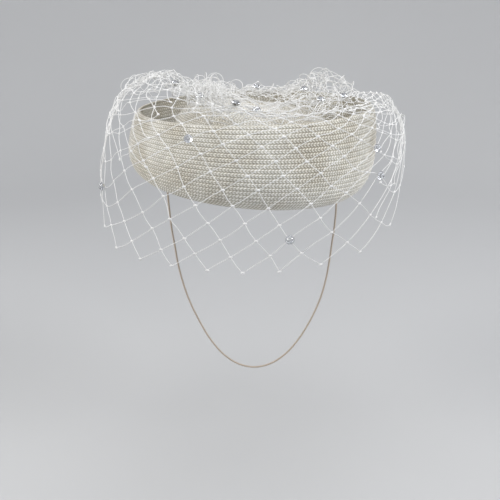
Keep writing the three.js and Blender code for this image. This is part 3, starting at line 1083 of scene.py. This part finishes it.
def large_loops():
    """Paths of the few large loops that stand out at the left."""
    paths = []
    up = np.array([0, 0, 1.0])
    angles = np.linspace(-0.45, 1.5, LOOP_STEPS) * np.pi
    for azimuth, reach, height, radius, turn in LARGE_LOOPS:
        base = around(math.radians(azimuth), reach * MM, height * MM)
        side = around(math.radians(turn + 90), 1.0, 0.0)
        spread = np.linspace(-LARGE_LOOP_SWAY, LARGE_LOOP_SWAY, LOOP_STEPS)
        sway = np.cross(side, up) * spread[:, None]
        wide = side * np.cos(angles)[:, None] * LARGE_LOOP_WIDTH
        ring = wide + up * np.sin(angles)[:, None] + sway
        paths.append(base + ring * radius * MM)
    return paths


def stone_threads(chance):
    """Paths of threads from the bunched net to the stones that are sewn on it."""
    paths = []
    t = np.linspace(0, 1, LOOP_STEPS)[:, None]
    for centre in upright(np.array(STONE_CENTRES[:GATHER_STONE_COUNT])):
        start = centre - [0, 0, STONE_SEAT]
        azimuth = math.atan2(start[0], -start[1])
        edge = gather_reach(azimuth)
        share = (math.hypot(start[0], start[1]) - GATHER_EYE) / (edge - GATHER_EYE)
        for _ in range(THREADS_PER_STONE):
            turn = azimuth + chance.uniform(-THREAD_TURN, THREAD_TURN)
            end_share = np.clip(share + chance.uniform(*THREAD_REACHES), *THREAD_LIMITS)
            end = gather_point(turn, end_share)
            middle = (start + end) / 2 + chance.normal(0, 1, 3) * THREAD_SCATTER
            middle = middle + [0, 0, THREAD_ARCH]
            paths.append(start * (1 - t) ** 2 + middle * 2 * t * (1 - t) + end * t**2)
    return paths


def make_loops(material):
    """Single threads on the bunched net: small and large loops, and threads to its stones."""
    chance = np.random.default_rng(LOOP_SEED)
    paths = small_loops(chance) + large_loops() + stone_threads(chance)
    paths = clear_of_stones(np.array(paths))
    up = chance.normal(size=(len(paths), 3))
    rings = tube_rings(tilted(paths), STRAND_SIDES, STRAND_RADIUS, up)
    faces = tube_faces(len(paths), LOOP_STEPS, STRAND_SIDES)
    return mesh_object("net_loops", rings.reshape(-1, 3), faces, material)


# Stones
def stone_points(radius, height):
    """Table, star points, girdle and back of one cut stone, its axis along z."""
    points = []
    for count, wide, high, turn in STONE_RINGS:
        for k in range(count):
            angle = 2 * math.pi * (k + turn) / count
            x, y = radius * wide * math.cos(angle), radius * wide * math.sin(angle)
            points.append((x, y, height * high))
    return np.array(points)


def make_stone(name, node, glass, foil):
    """A cut stone with a foil back, in the place of the plain one."""
    corners = np.array([node.matrix_world @ vertex.co for vertex in node.data.vertices])
    centre = (corners.max(axis=0) + corners.min(axis=0)) / 2
    centred = corners - corners.mean(axis=0)
    axes = np.linalg.svd(centred, full_matrices=False)[2]
    axis = axes[2] * np.sign(axes[2] @ corners.mean(axis=0))
    side = axes[0]
    forward = np.cross(axis, side)
    radius = np.abs(centred @ side).max()
    height = np.ptp(centred @ axis)
    local = stone_points(radius, height)
    places = centre + local @ np.stack([side, forward, axis])
    shape = bmesh.new()
    for place in places:
        shape.verts.new(place)
    bmesh.ops.convex_hull(shape, input=shape.verts)
    bmesh.ops.dissolve_limit(shape, angle_limit=FLAT_ANGLE, verts=shape.verts, edges=shape.edges)
    bmesh.ops.recalc_face_normals(shape, faces=shape.faces)
    for face in shape.faces:
        face.smooth = False
        face.material_index = 1 if np.array(face.normal) @ axis < FOIL_FACING else 0
    mesh = bpy.data.meshes.new(name)
    shape.to_mesh(mesh)
    shape.free()
    mesh.materials.append(glass)
    mesh.materials.append(foil)
    stone = bpy.data.objects.new(name, mesh)
    bpy.context.scene.collection.objects.link(stone)
    return stone


# Elastic
def make_elastic(material):
    """The elastic loop and the line along its middle."""
    ends = tilted(np.array([[-ELASTIC_LEFT, 0, 0], [ELASTIC_RIGHT, 0, 0]])) - [0, 0, SEAM_GAP]
    route = [ends[0]] + [np.array((x * MM, 0, z * MM)) for x, z in ELASTIC_ROUTE] + [ends[1]]
    path = catmull_rom(route, ELASTIC_STEPS)
    sides = ELASTIC_SIDES
    rings = tube_rings(path[None], sides, ELASTIC_DIAMETER / 2, np.array([[0.0, 1.0, 0.0]]))
    faces = tube_faces(1, len(path), sides)
    lengths = np.concatenate([[0], np.cumsum(np.linalg.norm(np.diff(path, axis=0), axis=1))])
    uvs = []
    for step in range(len(path) - 1):
        low, high = lengths[step] / ELASTIC_DIAMETER, lengths[step + 1] / ELASTIC_DIAMETER
        for side in range(sides):
            left, right = side / sides, (side + 1) / sides
            uvs += [(left, low), (right, low), (right, high), (left, high)]
    uvs += [(0.5, 0.5)] * (2 * sides)
    piece = mesh_object("chin_cord", rings.reshape(-1, 3), faces, material, uvs)
    return piece, path


# Stage and light
def make_stage(material):
    """A round pale floor that bends up at its edge, the same from every side."""
    profile = [(0.0, FLOOR_HEIGHT), (COVE_RADIUS - COVE_BEND, FLOOR_HEIGHT)]
    for k in range(1, COVE_STEPS + 1):
        angle = math.pi / 2 * k / COVE_STEPS
        radius = COVE_RADIUS - COVE_BEND + COVE_BEND * math.sin(angle)
        profile.append((radius, FLOOR_HEIGHT + COVE_BEND * (1 - math.cos(angle))))
    profile.append((COVE_RADIUS, COVE_HEIGHT))
    columns = STAGE_COLUMNS
    points, faces = [(0.0, 0.0, FLOOR_HEIGHT)], []
    for radius, height in profile[1:]:
        for column in range(columns):
            angle = 2 * math.pi * column / columns
            points.append((radius * math.cos(angle), radius * math.sin(angle), height))
    for column in range(columns):
        faces.append((0, 1 + column, 1 + (column + 1) % columns))
    for ring in range(len(profile) - 2):
        for column in range(columns):
            low, right = 1 + ring * columns, (column + 1) % columns
            faces.append((low + column, low + columns + column, low + columns + right, low + right))
    floor = mesh_object("stage_floor", points, faces, material)


def make_light(name, place, target, power, color):
    """A round lamp that faces its target."""
    data = bpy.data.lights.new(name, "AREA")
    data.shape = "DISK"
    data.size = LIGHT_SIZE
    data.energy = power
    data.color = color
    light = bpy.data.objects.new(name, data)
    light.location = place
    aim = np.array(target) - np.array(place)
    yaw = math.atan2(aim[0], -aim[1])
    pitch = math.atan2(-aim[2], math.hypot(aim[0], aim[1]))
    light.rotation_euler = (math.pi / 2 - pitch, 0, math.pi + yaw)
    bpy.context.scene.collection.objects.link(light)


def make_world():
    """Even light from all round."""
    world = bpy.data.worlds.new("studio")
    bpy.context.scene.world = world
    world.use_nodes = True
    background = world.node_tree.nodes["Background"]
    background.inputs["Color"].default_value = WORLD_COLOR
    background.inputs["Strength"].default_value = WORLD_STRENGTH


# The scene, piece by piece
make_camera()
chin_cord, elastic_path = make_elastic(elastic_material())
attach(chin_cord, "root")
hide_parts("chin_elastic")

straw = straw_material()
straw_crown = straw_wall(
    "straw_crown", crown_point, CROWN_ROWS, CROWN_ROW_STEPS, CROWN_COLUMNS, True, straw
)
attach(straw_crown, "root")
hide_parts("crown")
straw_brim = straw_wall(
    "straw_brim", brim_point, BRIM_ROWS, BRIM_ROW_STEPS, BRIM_COLUMNS, False, straw
)
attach(straw_brim, "root")
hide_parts("brim")

strand = net_material()
cage_veil = net(
    "cage_veil", loose_veil, VEIL_COLUMNS, VEIL_HALF_ROWS, strand, VEIL_SEED, VEIL_BOW
)
for piece in [cage_veil, *make_folds(strand)]:
    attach(piece, "root")
    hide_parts("veil")
for piece in [*make_gather(strand), make_loops(strand)]:
    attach(piece, "root")
    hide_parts("veil_gather")

clear_stone, stone_foil = stone_material(), foil_material()
for number, node in enumerate(STONE_NODES, 1):
    stone = make_stone(f"cut_stone_{number:02d}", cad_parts[node], clear_stone, stone_foil)
    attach(stone, "root")
    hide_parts(node)

make_stage(stage_material())
for light in LIGHTS:
    make_light(*light)
make_world()
bpy.context.scene.view_settings.view_transform = "Standard"
